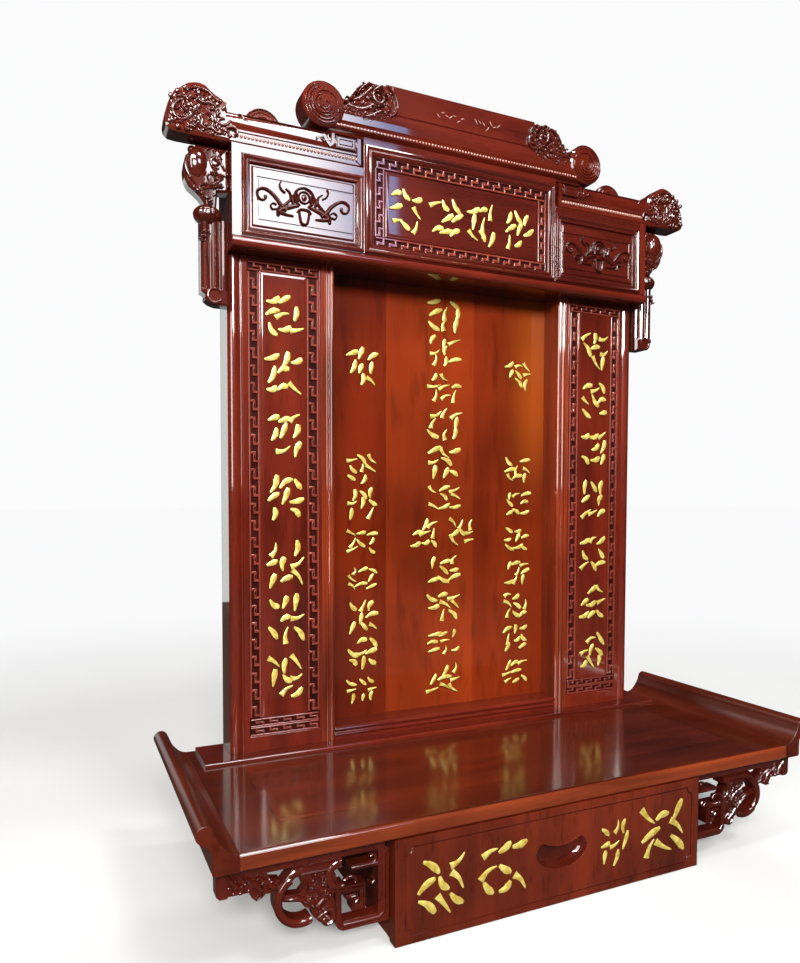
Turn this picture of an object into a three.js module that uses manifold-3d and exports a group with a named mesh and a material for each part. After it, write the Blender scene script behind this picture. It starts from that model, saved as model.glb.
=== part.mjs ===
// Household altar cabinet: a table top with turned-up ends on a drawer case, a tall back
// board with a deep centre panel, and a header and carved ridge over it.
// Millimetres, +Z up, front towards -Y, origin at the middle of the underside.
import * as THREE from 'three';
import { mergeVertices } from 'three/addons/utils/BufferGeometryUtils.js';
import Module from 'manifold-3d';

const wasm = await Module();
wasm.setup();

// Overall
const LENGTH = 880; // over the turned-up ends
const DEPTH = 332; // drawer front to the back
const FRONT_Y = -DEPTH / 2;
const BACK_Y = DEPTH / 2;
const BOARD_Y = 112; // front plane of the back board

// Table
const TABLE_UNDER = 122.5;
const TABLE_T = 19;
const TABLE_TOP = TABLE_UNDER + TABLE_T;
const TABLE_FRONT_Y = FRONT_Y + 1;
const FLANGE_W = 44; // along the table
const FLANGE_LEAN = 16.5; // how far the roll hangs out over the foot
const SLAB_HALF = LENGTH / 2 - FLANGE_W;
const SLAB_EDGE_R = 6;
const FLANGE_RISE = 34.5;
const FLANGE_ROLL_R = 9.5;
const PLINTH_H = 5;
const PLINTH_SIDE_STEP = 39; // how far the plinth runs out beside the board
const PLINTH_STEP = 23; // how far the plinth runs out in front of the board
const BOARD_Z0 = TABLE_TOP + PLINTH_H;

// Drawer and its case
const FACE_END_STEP = 215; // from the drawer front's side to the table's end
const FACE_HALF = LENGTH / 2 - FACE_END_STEP;
const FACE_T = 17;
const FACE_GAP = 1; // above and below the drawer front
const CASE_STEP = 3; // case behind the drawer front's sides
const CASE_HALF = FACE_HALF - CASE_STEP;
const CASE_WALL = 12;
const CASE_FLOOR = 10;
const CASE_FRONT_GAP = 0.6;
const DRAWER_SIDE_GAP = 1;
const DRAWER_UNDER_GAP = 0.6;
const DRAWER_BACK_GAP = 4;
const DRAWER_TOP = 112;
const DRAWER_WALL = 10;
const DRAWER_FLOOR = 6;
const BORDER_HALF = FACE_HALF - 12; // line border on the drawer front
const BORDER_Z = [10.5, 111];
const BORDER_CUT = 9;
const BORDER_W = 1.8;
const BORDER_DEEP = 1.6;
const RECESS_HALF = 38.5; // finger recess
const RECESS_MID_Z = 68;
const RECESS_DROP = 23;
const RECESS_DEEP = 11;

// Brackets under the slab
const BRACKET_Y = FRONT_Y + 14;
const BRACKET_T = 16;
const LEAF_SET_BACK = 2;
const BRACKET_GAP = 1.5; // between the drawer front and a bracket

// Back board
const BOARD_HALF = 345;
const BOARD_T = BACK_Y - BOARD_Y;
const STILE_W = 19;
const PANEL_W = 112; // couplet panel
const INNER_STILE_W = 20;
const OPENING_HALF = BOARD_HALF - STILE_W - PANEL_W - INNER_STILE_W;
const PANEL_T = 18;
const BACK_T = 8;
const CENTRE_T = 5;
const RAIL_H = 19.5;
const PANEL_Y = BOARD_Y + 1; // panels and rails lie a little behind the stiles
const BEAD_BASE = BOARD_Y + 3;
const BEAD_RISE = 3;
const FINE_BEAD_RISE = 2.4;
const FRET_SUNK = 3.5;

// Header
const HEADER_PROJECTION = 30;
const HEADER_Y = BOARD_Y - HEADER_PROJECTION;
const SOFFIT_Z = 824;
const SOFFIT_T = 14;
const NOSE_OUT = 4;
const HEADER_Z0 = SOFFIT_Z + SOFFIT_T;
const SIDE_H = 117;
const SIDE_TOP = HEADER_Z0 + SIDE_H;
const CENTRE_HALF = 162;
const CENTRE_TOP = SIDE_TOP + 34;
const CAP_T = 8;
const END_T = 11;
const HEADER_FACE_T = 14;
const TOP_T = 10;
const CHEEK_T = 10;
const LINE_W = 2.2;
const LINE_DEEP = 1.5;

// Ridges
const RIDGE_T = 35;
const SIDE_RIDGE_H = 39;
const SIDE_RIDGE_TOP = SIDE_TOP + SIDE_RIDGE_H;
const RIDGE_GAP = 5; // beside the taller centre part
const SIDE_RIDGE_IN = CENTRE_HALF + RIDGE_GAP;
const CENTRE_RIDGE_Z0 = CENTRE_TOP + CAP_T;
const CENTRE_RIDGE_H = 82;
const ROLL_R = 30.5;
const ROLL_OUT = 58; // roll centre beyond the header's centre part
const ROLL_X = CENTRE_HALF + ROLL_OUT;
const ROLL_Z = CENTRE_RIDGE_Z0 + 32.5;
const SCROLL_HALF = ROLL_X - 95;
const MEDALLION_R = 25.5;
const MEDALLION_IN = 50; // from the board's edge
const MEDALLION_X = BOARD_HALF - MEDALLION_IN;
const MEDALLION_Z = SIDE_RIDGE_TOP + 4;
const MEDALLION_T = 10;

// Hanging posts
const POST_OUT = 36;
const FLUTES = 3;
const FLUTE_RISE = 4;
const POST_Y0 = BOARD_Y - 10;
const POST_Y1 = BOARD_Y + 12;
const POST_Z = [SIDE_TOP - 189, SIDE_TOP - 95];

const LACQUER = new THREE.MeshStandardMaterial({ color: 0x6e1f14, roughness: 0.25, metalness: 0 });
const FIGURED = new THREE.MeshStandardMaterial({ color: 0x8a3018, roughness: 0.25, metalness: 0 });
const INNER = new THREE.MeshStandardMaterial({ color: 0x5a2418, roughness: 0.5, metalness: 0 });

// Shapes.

function manifold(geometry) {
  const bare = geometry.clone();
  bare.deleteAttribute('normal');
  bare.deleteAttribute('uv');
  const merged = mergeVertices(bare, 1e-4);
  return new wasm.Manifold(new wasm.Mesh({
    numProp: 3,
    vertProperties: Float32Array.from(merged.attributes.position.array),
    triVerts: Uint32Array.from(merged.index.array),
  }));
}

function join(solids) {
  return solids.reduce((all, solid) => all.add(solid));
}

function shapeOf(outline) {
  const points = outline.map(([a, b]) => new THREE.Vector2(a, b));
  if (THREE.ShapeUtils.isClockWise(points)) points.reverse();
  return new THREE.Shape(points);
}

function extrude(outline, length, bevel = 0) {
  return new THREE.ExtrudeGeometry(shapeOf(outline), {
    depth: length - 2 * bevel,
    bevelEnabled: bevel > 0,
    bevelThickness: bevel,
    bevelSize: bevel,
    bevelOffset: -bevel,
    bevelSegments: 1,
  }).translate(0, 0, bevel);
}

// An outline in (x, z) run from the front face y0 back to y1.
function plate(outline, y0, y1, bevel = 0) {
  const geometry = extrude(outline, y1 - y0, bevel).rotateX(Math.PI / 2);
  return manifold(geometry.translate(0, y1, 0));
}

// A profile in (y, z) run from x0 to x1.
function rail(profile, x0, x1) {
  const turn = new THREE.Matrix4().set(0, 0, 1, 0, 1, 0, 0, 0, 0, 1, 0, 0, 0, 0, 0, 1);
  return manifold(extrude(profile, x1 - x0).applyMatrix4(turn).translate(x0, 0, 0));
}

// A profile in (x, y) run from z0 up to z1.
function upright(profile, z0, z1) {
  return manifold(extrude(profile, z1 - z0).translate(0, 0, z0));
}

function box(x0, x1, y0, y1, z0, z1) {
  const geometry = new THREE.BoxGeometry(x1 - x0, y1 - y0, z1 - z0);
  return manifold(geometry.translate((x0 + x1) / 2, (y0 + y1) / 2, (z0 + z1) / 2));
}

// A closed solid through rings of equal count, from the back ring to the front ring.
// Each ring runs anticlockwise as seen from the front.
function loft(rings) {
  const count = rings[0].length;
  const position = rings.flat(2);
  const index = [];
  for (let r = 0; r + 1 < rings.length; r += 1) {
    for (let k = 0; k < count; k += 1) {
      const a = r * count + k;
      const b = r * count + ((k + 1) % count);
      index.push(a, b, b + count, a, b + count, a + count);
    }
  }
  const flat = rings[0].map(([x, , z]) => new THREE.Vector2(x, z));
  const front = (rings.length - 1) * count;
  for (const [a, b, c] of THREE.ShapeUtils.triangulateShape(flat, [])) {
    index.push(c, b, a, front + a, front + b, front + c);
  }
  const geometry = new THREE.BufferGeometry();
  geometry.setAttribute('position', new THREE.Float32BufferAttribute(position, 3));
  geometry.setIndex(index);
  return manifold(geometry);
}

// A board whose front steps through mitred rectangles [x0, x1, z0, z1, y], outermost first.
function terrace(steps, backY) {
  const [first] = steps;
  const all = [[...first.slice(0, 4), backY], ...steps];
  return loft(all.map(([x0, x1, z0, z1, y]) => [[x0, y, z0], [x1, y, z0], [x1, y, z1], [x0, y, z1]]));
}

// The steps of a terrace from insets of one rectangle: [inset, y] pairs.
function insets(x0, x1, z0, z1, pairs) {
  return pairs.map(([d, y]) => [x0 + d, x1 - d, z0 + d, z1 - d, y]);
}

function arc(cx, cz, r, from, to, count) {
  return Array.from({ length: count + 1 }, (_, i) => {
    const angle = THREE.MathUtils.degToRad(from + ((to - from) * i) / count);
    return [cx + r * Math.cos(angle), cz + r * Math.sin(angle)];
  });
}

function spiral(cx, cz, r0, r1, from, to, count) {
  return Array.from({ length: count + 1 }, (_, i) => {
    const t = i / count;
    const angle = THREE.MathUtils.degToRad(from + (to - from) * t);
    const r = r0 + (r1 - r0) * t;
    return [cx + r * Math.cos(angle), cz + r * Math.sin(angle)];
  });
}

// The outline of a strip along a run of points, tapering from width w0 to w1.
function strip(points, w0, w1 = w0) {
  const left = [];
  const right = [];
  points.forEach(([x, z], i) => {
    const [ax, az] = points[Math.max(i - 1, 0)];
    const [bx, bz] = points[Math.min(i + 1, points.length - 1)];
    const long = Math.hypot(bx - ax, bz - az);
    const half = (w0 + ((w1 - w0) * i) / (points.length - 1)) / 2;
    const nx = (-(bz - az) / long) * half;
    const nz = ((bx - ax) / long) * half;
    left.push([x + nx, z + nz]);
    right.unshift([x - nx, z - nz]);
  });
  return [...left, ...right];
}

// An outline drawn around a corner of another piece.
function from(x0, z0, outline) {
  return outline.map(([x, z]) => [x0 + x, z0 + z]);
}

function rect(x0, x1, z0, z1) {
  return [[x0, z0], [x1, z0], [x1, z1], [x0, z1]];
}

// The edge of a half-round bead in (across, forward), from a to b with its crest at -rise.
function bead(a, b, base, rise, count = 4) {
  return Array.from({ length: count + 1 }, (_, i) => {
    const t = i / count;
    return [a + (b - a) * t, base - rise * Math.sin(Math.PI * t)];
  });
}

const group = new THREE.Group();

function add(name, solid, material) {
  const mesh = solid.getMesh();
  const geometry = new THREE.BufferGeometry();
  geometry.setAttribute('position', new THREE.BufferAttribute(Float32Array.from(mesh.vertProperties), 3));
  geometry.setIndex(new THREE.BufferAttribute(Uint32Array.from(mesh.triVerts), 1));
  geometry.computeVertexNormals();
  const object = new THREE.Mesh(geometry, material);
  object.name = name;
  group.add(object);
}

// Adds a piece drawn on the +X side and its mirror image.
function addPair(name, solid, material) {
  add(`${name}_right`, solid, material);
  add(`${name}_left`, solid.mirror([1, 0, 0]), material);
}

// Table.

const slabProfile = [
  [BACK_Y, TABLE_UNDER],
  [BACK_Y, TABLE_TOP],
  ...arc(TABLE_FRONT_Y + SLAB_EDGE_R, TABLE_TOP - SLAB_EDGE_R, SLAB_EDGE_R, 90, 180, 4),
  ...arc(TABLE_FRONT_Y + SLAB_EDGE_R / 2, TABLE_UNDER + SLAB_EDGE_R / 2, SLAB_EDGE_R / 2, 180, 270, 2),
];
add('table_top', rail(slabProfile, -SLAB_HALF, SLAB_HALF), LACQUER);

const flangeOut = LENGTH / 2 - FLANGE_LEAN;
const rollX = LENGTH / 2 - FLANGE_ROLL_R;
const rollZ = TABLE_TOP + FLANGE_RISE - FLANGE_ROLL_R;
const flangeOutline = [
  [SLAB_HALF, TABLE_UNDER],
  [flangeOut - 3.5, TABLE_UNDER],
  [flangeOut, TABLE_UNDER + 3],
  [flangeOut, TABLE_TOP - 3],
  [flangeOut + 1, TABLE_TOP + 5],
  [flangeOut + 4.5, TABLE_TOP + 11],
  ...arc(rollX, rollZ, FLANGE_ROLL_R, -60, 180, 8),
  [rollX - 13, TABLE_TOP + 17],
  [rollX - 19, TABLE_TOP + 9],
  [rollX - 26, TABLE_TOP + 2.8],
  [SLAB_HALF, TABLE_TOP],
];
addPair('end_flange', plate(flangeOutline, TABLE_FRONT_Y, BACK_Y, 1.2), LACQUER);

const plinthFront = BOARD_Y - PLINTH_STEP;
const plinthHalf = BOARD_HALF + PLINTH_SIDE_STEP;
const plinthProfile = [
  [BACK_Y, TABLE_TOP],
  [BACK_Y, BOARD_Z0],
  [plinthFront + 2, BOARD_Z0],
  [plinthFront, BOARD_Z0 - 2],
  [plinthFront, TABLE_TOP],
];
add('back_plinth', rail(plinthProfile, -plinthHalf, plinthHalf), LACQUER);

// Drawer case: floor, sides and back, open to the front and closed above by the slab.

const faceBack = FRONT_Y + FACE_T;
const caseFront = faceBack + CASE_FRONT_GAP;
const caseInner = CASE_HALF - CASE_WALL;
const caseBack = BACK_Y - CASE_WALL;
const caseBody = box(-CASE_HALF, CASE_HALF, caseFront, BACK_Y, 0, TABLE_UNDER);
const caseSpace = box(-caseInner, caseInner, caseFront - 1, caseBack, CASE_FLOOR, TABLE_UNDER + 1);
add('drawer_case', caseBody.subtract(caseSpace), LACQUER);

// Drawer.

// The line border runs round the front with its corners cut inwards.
function borderOutline(grow) {
  const x = BORDER_HALF + grow;
  const [z0, z1] = [BORDER_Z[0] - grow, BORDER_Z[1] + grow];
  const corner = (sx, cz, sz) => [
    [sx * x, cz - sz * BORDER_CUT],
    [sx * (x - BORDER_CUT * 0.72), cz - sz * BORDER_CUT * 0.72],
    [sx * (x - BORDER_CUT), cz],
  ];
  return [
    ...corner(1, z1, 1),
    ...corner(-1, z1, 1).reverse(),
    ...corner(-1, z0, -1),
    ...corner(1, z0, -1).reverse(),
  ];
}

const faceBody = plate(
  rect(-FACE_HALF, FACE_HALF, FACE_GAP, TABLE_UNDER - FACE_GAP),
  FRONT_Y,
  faceBack,
  1,
);
const borderRing = plate(borderOutline(BORDER_W / 2), FRONT_Y - 1, FRONT_Y + BORDER_DEEP)
  .subtract(plate(borderOutline(-BORDER_W / 2), FRONT_Y - 2, FRONT_Y + BORDER_DEEP + 1));

// The finger recess is a bean shape, rounded below and hollowed above.
const RECESS_HORNS = from(0, RECESS_MID_Z, [[34, 10], [28.5, 12], [20, 8], [8, 5]]);
const recessOutline = [
  ...arc(0, 0, 1, 180, 360, 16).map(([a, b]) => [RECESS_HALF * a, RECESS_MID_Z + RECESS_DROP * b]),
  ...RECESS_HORNS,
  ...RECESS_HORNS.map(([x, z]) => [-x, z]).reverse(),
];
const recessRing = (y, scale) =>
  recessOutline.map(([x, z]) => [x * scale, y, RECESS_MID_Z - 6 + (z - RECESS_MID_Z + 6) * scale]);
const recess = loft([
  recessRing(FRONT_Y + RECESS_DEEP, 0.78),
  recessRing(FRONT_Y + RECESS_DEEP * 0.6, 0.93),
  recessRing(FRONT_Y - 1, 1),
]);
add('drawer_front', faceBody.subtract(borderRing).subtract(recess), LACQUER);

const drawerHalf = caseInner - DRAWER_SIDE_GAP;
const drawerZ0 = CASE_FLOOR + DRAWER_UNDER_GAP;
const drawerBack = caseBack - DRAWER_BACK_GAP;
const drawerInner = drawerHalf - DRAWER_WALL;
const drawerBody = box(-drawerHalf, drawerHalf, faceBack, drawerBack, drawerZ0, DRAWER_TOP);
const drawerSpace = box(
  -drawerInner,
  drawerInner,
  faceBack + DRAWER_WALL,
  drawerBack - DRAWER_WALL,
  drawerZ0 + DRAWER_FLOOR,
  DRAWER_TOP + 1,
);
add('drawer_box', drawerBody.subtract(drawerSpace), INNER);

// Brackets: a scroll with leaves between an end block and a squared fret.

const scrollX = 103;
const scrollZ = -48.5;
const scrollR = 25.5;
const bracketBack = BRACKET_Y + BRACKET_T;
const frame = (outline) =>
  plate(from(FACE_HALF, TABLE_UNDER, outline), BRACKET_Y, bracketBack);
const leaf = (outline) =>
  plate(from(FACE_HALF, TABLE_UNDER, outline), BRACKET_Y + LEAF_SET_BACK, bracketBack - LEAF_SET_BACK);

// Drawn outwards from the drawer front's side and down from the slab's underside.
const hangingLeaf = [
  [185, -10.5], [183, -30.5], [159, -30.5], [156, -36.5], [151, -41.5], [145.5, -39.5],
  [141, -35.5], [133, -36.5], [127, -30.5], [126, -23.5], [136, -21.5], [141, -10.5],
];
const dragonLeaf = [
  [104, -25.5], [98, -22.5], [87, -22.5], [75, -25.5], [64, -30.5], [62, -44.5], [67, -54.5], [64, -64.5],
  [62, -74.5], [66, -82], [75, -83], [83, -79.5], [90, -71.5], [92, -62.5], [99, -59.5],
  [104, -52.5], [112, -51], [125, -48.5], [123, -41.5], [113, -43], [105, -44], [100, -38.5],
];
const bracket = join([
  frame([[7, -12.5], [191, -12.5], [193, -9.5], [193, 0], [7, 0]]),
  frame([[181, -0.5], [181, -31], [189, -31], [192.5, -27.5], [193, -0.5]]),
  leaf(hangingLeaf),
  frame(strip(arc(scrollX, scrollZ, scrollR, 62, -115, 16), 9.5, 7)),
  frame(strip([[119, -27.5], [112, -20.5], [101, -18], [59, -18]], 8, 11)),
  frame(strip(arc(59, -31.5, 13.5, 90, -110, 10), 10, 5)),
  frame(rect(15, 47, -30.5, -24.5)),
  leaf(dragonLeaf),
  frame([
    [58, -44.5], [58, -86.5], [54, -84.5], [15, -84.5], [15, -10.5], [7, -10.5], [BRACKET_GAP, -12.5],
    [BRACKET_GAP, -95], [56, -95], [62, -91.5], [65, -86.5], [65, -44.5],
  ]),
  frame([
    [63, -46.5], [63, -54], [37, -54], [37, -68.5], [41, -68.5], [41, -62.5], [39, -61.5],
    [39, -56.5], [53, -56.5], [53, -61], [46, -61], [46, -75], [30, -75], [30, -46.5],
  ]),
]);
addPair('bracket', bracket, LACQUER);

// Back board.

const outerStile = [
  [BOARD_HALF, BACK_Y],
  [BOARD_HALF - STILE_W, BACK_Y],
  [BOARD_HALF - STILE_W, BOARD_Y + 2.5],
  ...bead(BOARD_HALF - STILE_W + 2, BOARD_HALF - 1, BOARD_Y + 4, 4, 6),
  [BOARD_HALF, BOARD_Y + 6],
];
addPair('outer_stile', upright(outerStile, BOARD_Z0, SOFFIT_Z), LACQUER);

const railTop = BOARD_Z0 + RAIL_H;
const innerOut = OPENING_HALF + INNER_STILE_W;
const innerStile = [
  [innerOut, BACK_Y - BACK_T],
  [OPENING_HALF, BACK_Y - BACK_T],
  ...bead(OPENING_HALF, OPENING_HALF + 8, BEAD_BASE, BEAD_RISE),
  ...bead(OPENING_HALF + 8.5, OPENING_HALF + 14, BEAD_BASE, FINE_BEAD_RISE),
  [OPENING_HALF + 14.5, PANEL_Y],
  [innerOut, PANEL_Y],
];
addPair('inner_stile', upright(innerStile, BOARD_Z0, SOFFIT_Z), LACQUER);

const panelIn = innerOut;
const panelOut = BOARD_HALF - STILE_W;
const fretIn = panelIn + 3;
const fretOut = panelOut - 7.5;
const fretZ0 = BOARD_Z0 + 20.5;
const fretZ1 = SOFFIT_Z - 6;
const fieldIn = fretIn + 18.5;
const fieldOut = fretOut - 17;
const fieldZ0 = fretZ0 + 25.5;
const fieldZ1 = fretZ1 - 13.5;
const fretBase = PANEL_Y + FRET_SUNK;
const fieldSteps = [
  [panelIn, panelOut, BOARD_Z0, SOFFIT_Z, PANEL_Y],
  [fretIn, fretOut, fretZ0, fretZ1, PANEL_Y],
  [fretIn + 1, fretOut - 1, fretZ0 + 1, fretZ1 - 1, fretBase],
  [fieldIn - 2, fieldOut + 2, fieldZ0 - 2, fieldZ1 + 2, fretBase],
  ...insets(fieldIn, fieldOut, fieldZ0, fieldZ1, [
    [0, BOARD_Y + 2],
    [2.5, BOARD_Y + 2],
    [4.5, BOARD_Y + 0.5],
  ]),
];
addPair('couplet_panel', terrace(fieldSteps, BOARD_Y + PANEL_T), LACQUER);

const centreBack = BACK_Y - BACK_T;
const railProfile = [
  [centreBack - CENTRE_T, BOARD_Z0],
  [BOARD_Y + 1, BOARD_Z0],
  [BOARD_Y + 1, BOARD_Z0 + 4],
  ...bead(BOARD_Z0 + 4.5, BOARD_Z0 + 10.5, BEAD_BASE, FINE_BEAD_RISE).map(([z, y]) => [y, z]),
  ...bead(BOARD_Z0 + 11, railTop, BEAD_BASE, BEAD_RISE).map(([z, y]) => [y, z]),
  [centreBack - CENTRE_T, railTop],
];
add('board_rail', rail(railProfile, -OPENING_HALF, OPENING_HALF), LACQUER);
add(
  'centre_panel',
  box(-OPENING_HALF, OPENING_HALF, centreBack - CENTRE_T, centreBack, BOARD_Z0, SOFFIT_Z),
  FIGURED,
);
const backHalf = BOARD_HALF - STILE_W;
add('board_back', box(-backHalf, backHalf, centreBack, BACK_Y, BOARD_Z0, SOFFIT_Z), LACQUER);

// Header.

const noseY = HEADER_Y - NOSE_OUT;
const noseR = SOFFIT_T / 2;
const soffitProfile = [
  [BACK_Y, SOFFIT_Z],
  [BACK_Y, HEADER_Z0],
  ...arc(noseY + noseR, SOFFIT_Z + noseR, noseR, 90, 270, 8),
];
add('header_soffit', rail(soffitProfile, -BOARD_HALF, BOARD_HALF), LACQUER);

const endIn = BOARD_HALF - END_T;
const frontIn = HEADER_Y + HEADER_FACE_T;
const sideSteps = [
  [CENTRE_HALF, endIn, HEADER_Z0, SIDE_TOP, HEADER_Y],
  ...insets(CENTRE_HALF, endIn - 1, HEADER_Z0 + 1, SIDE_TOP - 10.5, [
    [0.5, HEADER_Y],
    [2, HEADER_Y - 2.6],
    [4.5, HEADER_Y - 3],
    [7, HEADER_Y - 1],
    [7.5, HEADER_Y - 0.4],
    [9, HEADER_Y - 1.6],
    [11, HEADER_Y - 1],
    [12, HEADER_Y + 3],
    [14, HEADER_Y + 3],
    [16, HEADER_Y + 1],
  ]),
];
const lineRect = (d) =>
  rect(CENTRE_HALF + 14 + d, endIn - 22 - d, HEADER_Z0 + 23 + d, SIDE_TOP - 37 - d);
const lineRing = plate(lineRect(0), HEADER_Y - 1, HEADER_Y + 1 + LINE_DEEP)
  .subtract(plate(lineRect(LINE_W), HEADER_Y - 2, HEADER_Y + 2 + LINE_DEEP));
addPair('header_panel', terrace(sideSteps, frontIn).subtract(lineRing), LACQUER);

const fretInner = CENTRE_HALF - 32.5;
const centreSteps = [
  [-CENTRE_HALF, CENTRE_HALF, HEADER_Z0, CENTRE_TOP, HEADER_Y],
  ...insets(-CENTRE_HALF, CENTRE_HALF, HEADER_Z0, CENTRE_TOP, [
    [1, HEADER_Y],
    [2.5, HEADER_Y - 3.2],
    [5, HEADER_Y - 3.8],
    [8, HEADER_Y - 1.4],
    [10, HEADER_Y - 2.4],
    [13, HEADER_Y - 1.4],
    [15, HEADER_Y + 1],
    [16, HEADER_Y + 4],
  ]),
  ...insets(-fretInner, fretInner, HEADER_Z0 + 27, CENTRE_TOP - 30.5, [
    [0, HEADER_Y + 4],
    [2, HEADER_Y + 2],
    [5, HEADER_Y + 2],
    [7, HEADER_Y + 1],
  ]),
];
add('header_panel_centre', terrace(centreSteps, frontIn), LACQUER);

addPair('header_end', box(endIn, BOARD_HALF, HEADER_Y, BACK_Y, HEADER_Z0, SIDE_TOP), LACQUER);
const cheekIn = CENTRE_HALF - CHEEK_T;
addPair('header_cheek', box(cheekIn, CENTRE_HALF, frontIn, BACK_Y, SIDE_TOP, CENTRE_TOP), LACQUER);
addPair('header_top', box(CENTRE_HALF, endIn, frontIn, centreBack, SIDE_TOP - TOP_T, SIDE_TOP), LACQUER);
add(
  'header_top_centre',
  box(-CENTRE_HALF, CENTRE_HALF, HEADER_Y, BACK_Y, CENTRE_TOP, CENTRE_RIDGE_Z0),
  LACQUER,
);
const headerBack = join([
  box(-endIn, endIn, centreBack, BACK_Y, HEADER_Z0, SIDE_TOP),
  box(-cheekIn, cheekIn, centreBack, BACK_Y, SIDE_TOP - 1, CENTRE_TOP),
]);
add('header_back', headerBack, LACQUER);

// Side ridges.

const ridgeBack = HEADER_Y + RIDGE_T;
const ridgeProfile = [
  [ridgeBack, SIDE_TOP],
  [HEADER_Y + 2, SIDE_TOP],
  [HEADER_Y, SIDE_TOP + 2],
  [HEADER_Y, SIDE_TOP + 5],
  [HEADER_Y + 2, SIDE_TOP + 6],
  [HEADER_Y + 2, SIDE_TOP + 14],
  [HEADER_Y, SIDE_TOP + 15],
  [HEADER_Y, SIDE_TOP + 17],
  [HEADER_Y + 1.5, SIDE_TOP + 18.5],
  [HEADER_Y - 0.5, SIDE_TOP + 22],
  [HEADER_Y - 1, SIDE_TOP + 28],
  [HEADER_Y, SIDE_TOP + 34],
  [HEADER_Y + 3, SIDE_RIDGE_TOP - 1.5],
  [HEADER_Y + 8, SIDE_RIDGE_TOP],
  [ridgeBack, SIDE_RIDGE_TOP],
];
// Drawn outwards from the board's edge and up from the header's top.
const ridgeEnd = [
  [0, 0], [67, 0], [76, 1], [81, 5], [82.5, 12], [81, 22], [78.5, 33],
  [75, 42], [70, 50.5], [62, 56], [54, 62.5], [46, 65], [39, 65.8], [32, 64],
  [26, 59], [20, 55], [12, 51.5], [7.5, 48], [5, 38],
];
const ridgeLobes = [
  strip(spiral(65, 23, 13, 4, -100, 230, 12), 6, 4),
  strip([[7, 44], [19, 49], [33, 57], [47, 58], [59, 51]], 5, 7),
  strip([[15, 34], [25, 40], [37, 43], [49, 46]], 5, 7),
  strip([[1, 23], [7, 18], [15, 17], [22, 23], [27, 32]], 7, 4),
  strip([[30, 7], [37, 17], [45, 27], [51, 37]], 7, 5),
];
const ridgeHook = [[64, 27], [59, 30], [54, 32], [49, 25], [45, 20], [41, 24], [41, 37]];
const onRidge = (outline) => from(BOARD_HALF, SIDE_TOP, outline);
const inRidge = (outline) => from(SIDE_RIDGE_IN, SIDE_TOP, outline);
const ridge = join([
  rail(ridgeProfile, SIDE_RIDGE_IN, BOARD_HALF + 7),
  plate(onRidge(ridgeEnd), HEADER_Y - 2, ridgeBack, 4),
  ...ridgeLobes.map((outline) => plate(onRidge(outline), HEADER_Y - 5, HEADER_Y + 6)),
  plate(inRidge(rect(8, 36, 19.5, 35)), HEADER_Y - 2.5, HEADER_Y + 6),
  plate(inRidge([[0, 2], [5, 6], [5, 37], [0, 37]]), HEADER_Y - 1.5, HEADER_Y + 6),
  plate(inRidge(strip(ridgeHook, 4)), HEADER_Y - 3, HEADER_Y + 6),
]);
addPair('ridge', ridge, LACQUER);

const MEDALLION_FOOT = 20;
const medallionOutline = [
  [MEDALLION_X - MEDALLION_FOOT, SIDE_TOP],
  [MEDALLION_X + MEDALLION_FOOT, SIDE_TOP],
  ...arc(MEDALLION_X, MEDALLION_Z, MEDALLION_R, -36, 216, 18),
];
const medallion = join([
  plate(medallionOutline, ridgeBack, ridgeBack + MEDALLION_T, 1),
  plate(strip(arc(MEDALLION_X, MEDALLION_Z, 15, 8, 172, 8), 5), ridgeBack - 2, ridgeBack + 4)
    .subtract(box(0, LENGTH, ridgeBack - 3, ridgeBack + 0.3, SIDE_TOP, SIDE_RIDGE_TOP + 0.5)),
]);
addPair('medallion', medallion, LACQUER);

// Centre ridge: an unrolled scroll with a roll at each end.

const scrollTop = [
  ...[
    [-95, CENTRE_RIDGE_H], [-94, 77.5], [-80, 78.5], [-70, 79.5], [-60, 76], [-55, 71], [-49, 65],
    [-44, 59], [-40, 51], [-34, 48], [-25, 50], [0, 55], [0, 7],
  ].map(([x, z]) => [ROLL_X + x, z]),
];
const mirrored = (outline) => outline.map(([x, z]) => [-x, z]).reverse();
const scrollBody = from(0, CENTRE_RIDGE_Z0, [...scrollTop, ...mirrored(scrollTop)]);
const covedFoot = [
  [HEADER_Y + 7, 0],
  [HEADER_Y + 6, 3],
  [HEADER_Y + 2, 6],
  [HEADER_Y + 2, 10],
  [ridgeBack - 1, 10],
  [ridgeBack - 1, 0],
];
const lowBand = [
  [HEADER_Y + 12, 6.5], [HEADER_Y + 1, 6.5], [HEADER_Y, 8], [HEADER_Y, 11],
  [HEADER_Y + 2, 13], [HEADER_Y + 0.5, 17], [HEADER_Y, 27], [HEADER_Y + 1, 37],
  [HEADER_Y + 12, 40],
];
const roll = (side) => join([
  plate(arc(side * ROLL_X, ROLL_Z, ROLL_R, 0, 345, 23), HEADER_Y - 2, ridgeBack, 3),
  plate(strip(spiral(side * ROLL_X, ROLL_Z, 23, 5, side > 0 ? 200 : -20, side > 0 ? -250 : 430, 20), 4, 3),
    HEADER_Y - 3.5, HEADER_Y + 4),
]);
const lump = (side) => [
  strip(arc(side * (SCROLL_HALF + 13), 58, 17, side > 0 ? 110 : 70, side > 0 ? 250 : -70, 8), 6),
  ...[
    [[25, 65], [33, 58], [39, 50], [49, 45]],
    [[25, 51], [35, 43], [47, 38], [61, 39]],
  ].map((run) => strip(run.map(([x, z]) => [side * (SCROLL_HALF + x), z]), 8, 6)),
];
const pageHalf = SCROLL_HALF - 8;
const page = [
  [6 - pageHalf, 41], [pageHalf - 6, 41], [pageHalf, 47], [pageHalf, 80], [-pageHalf, 80], [-pageHalf, 47],
];
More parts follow.
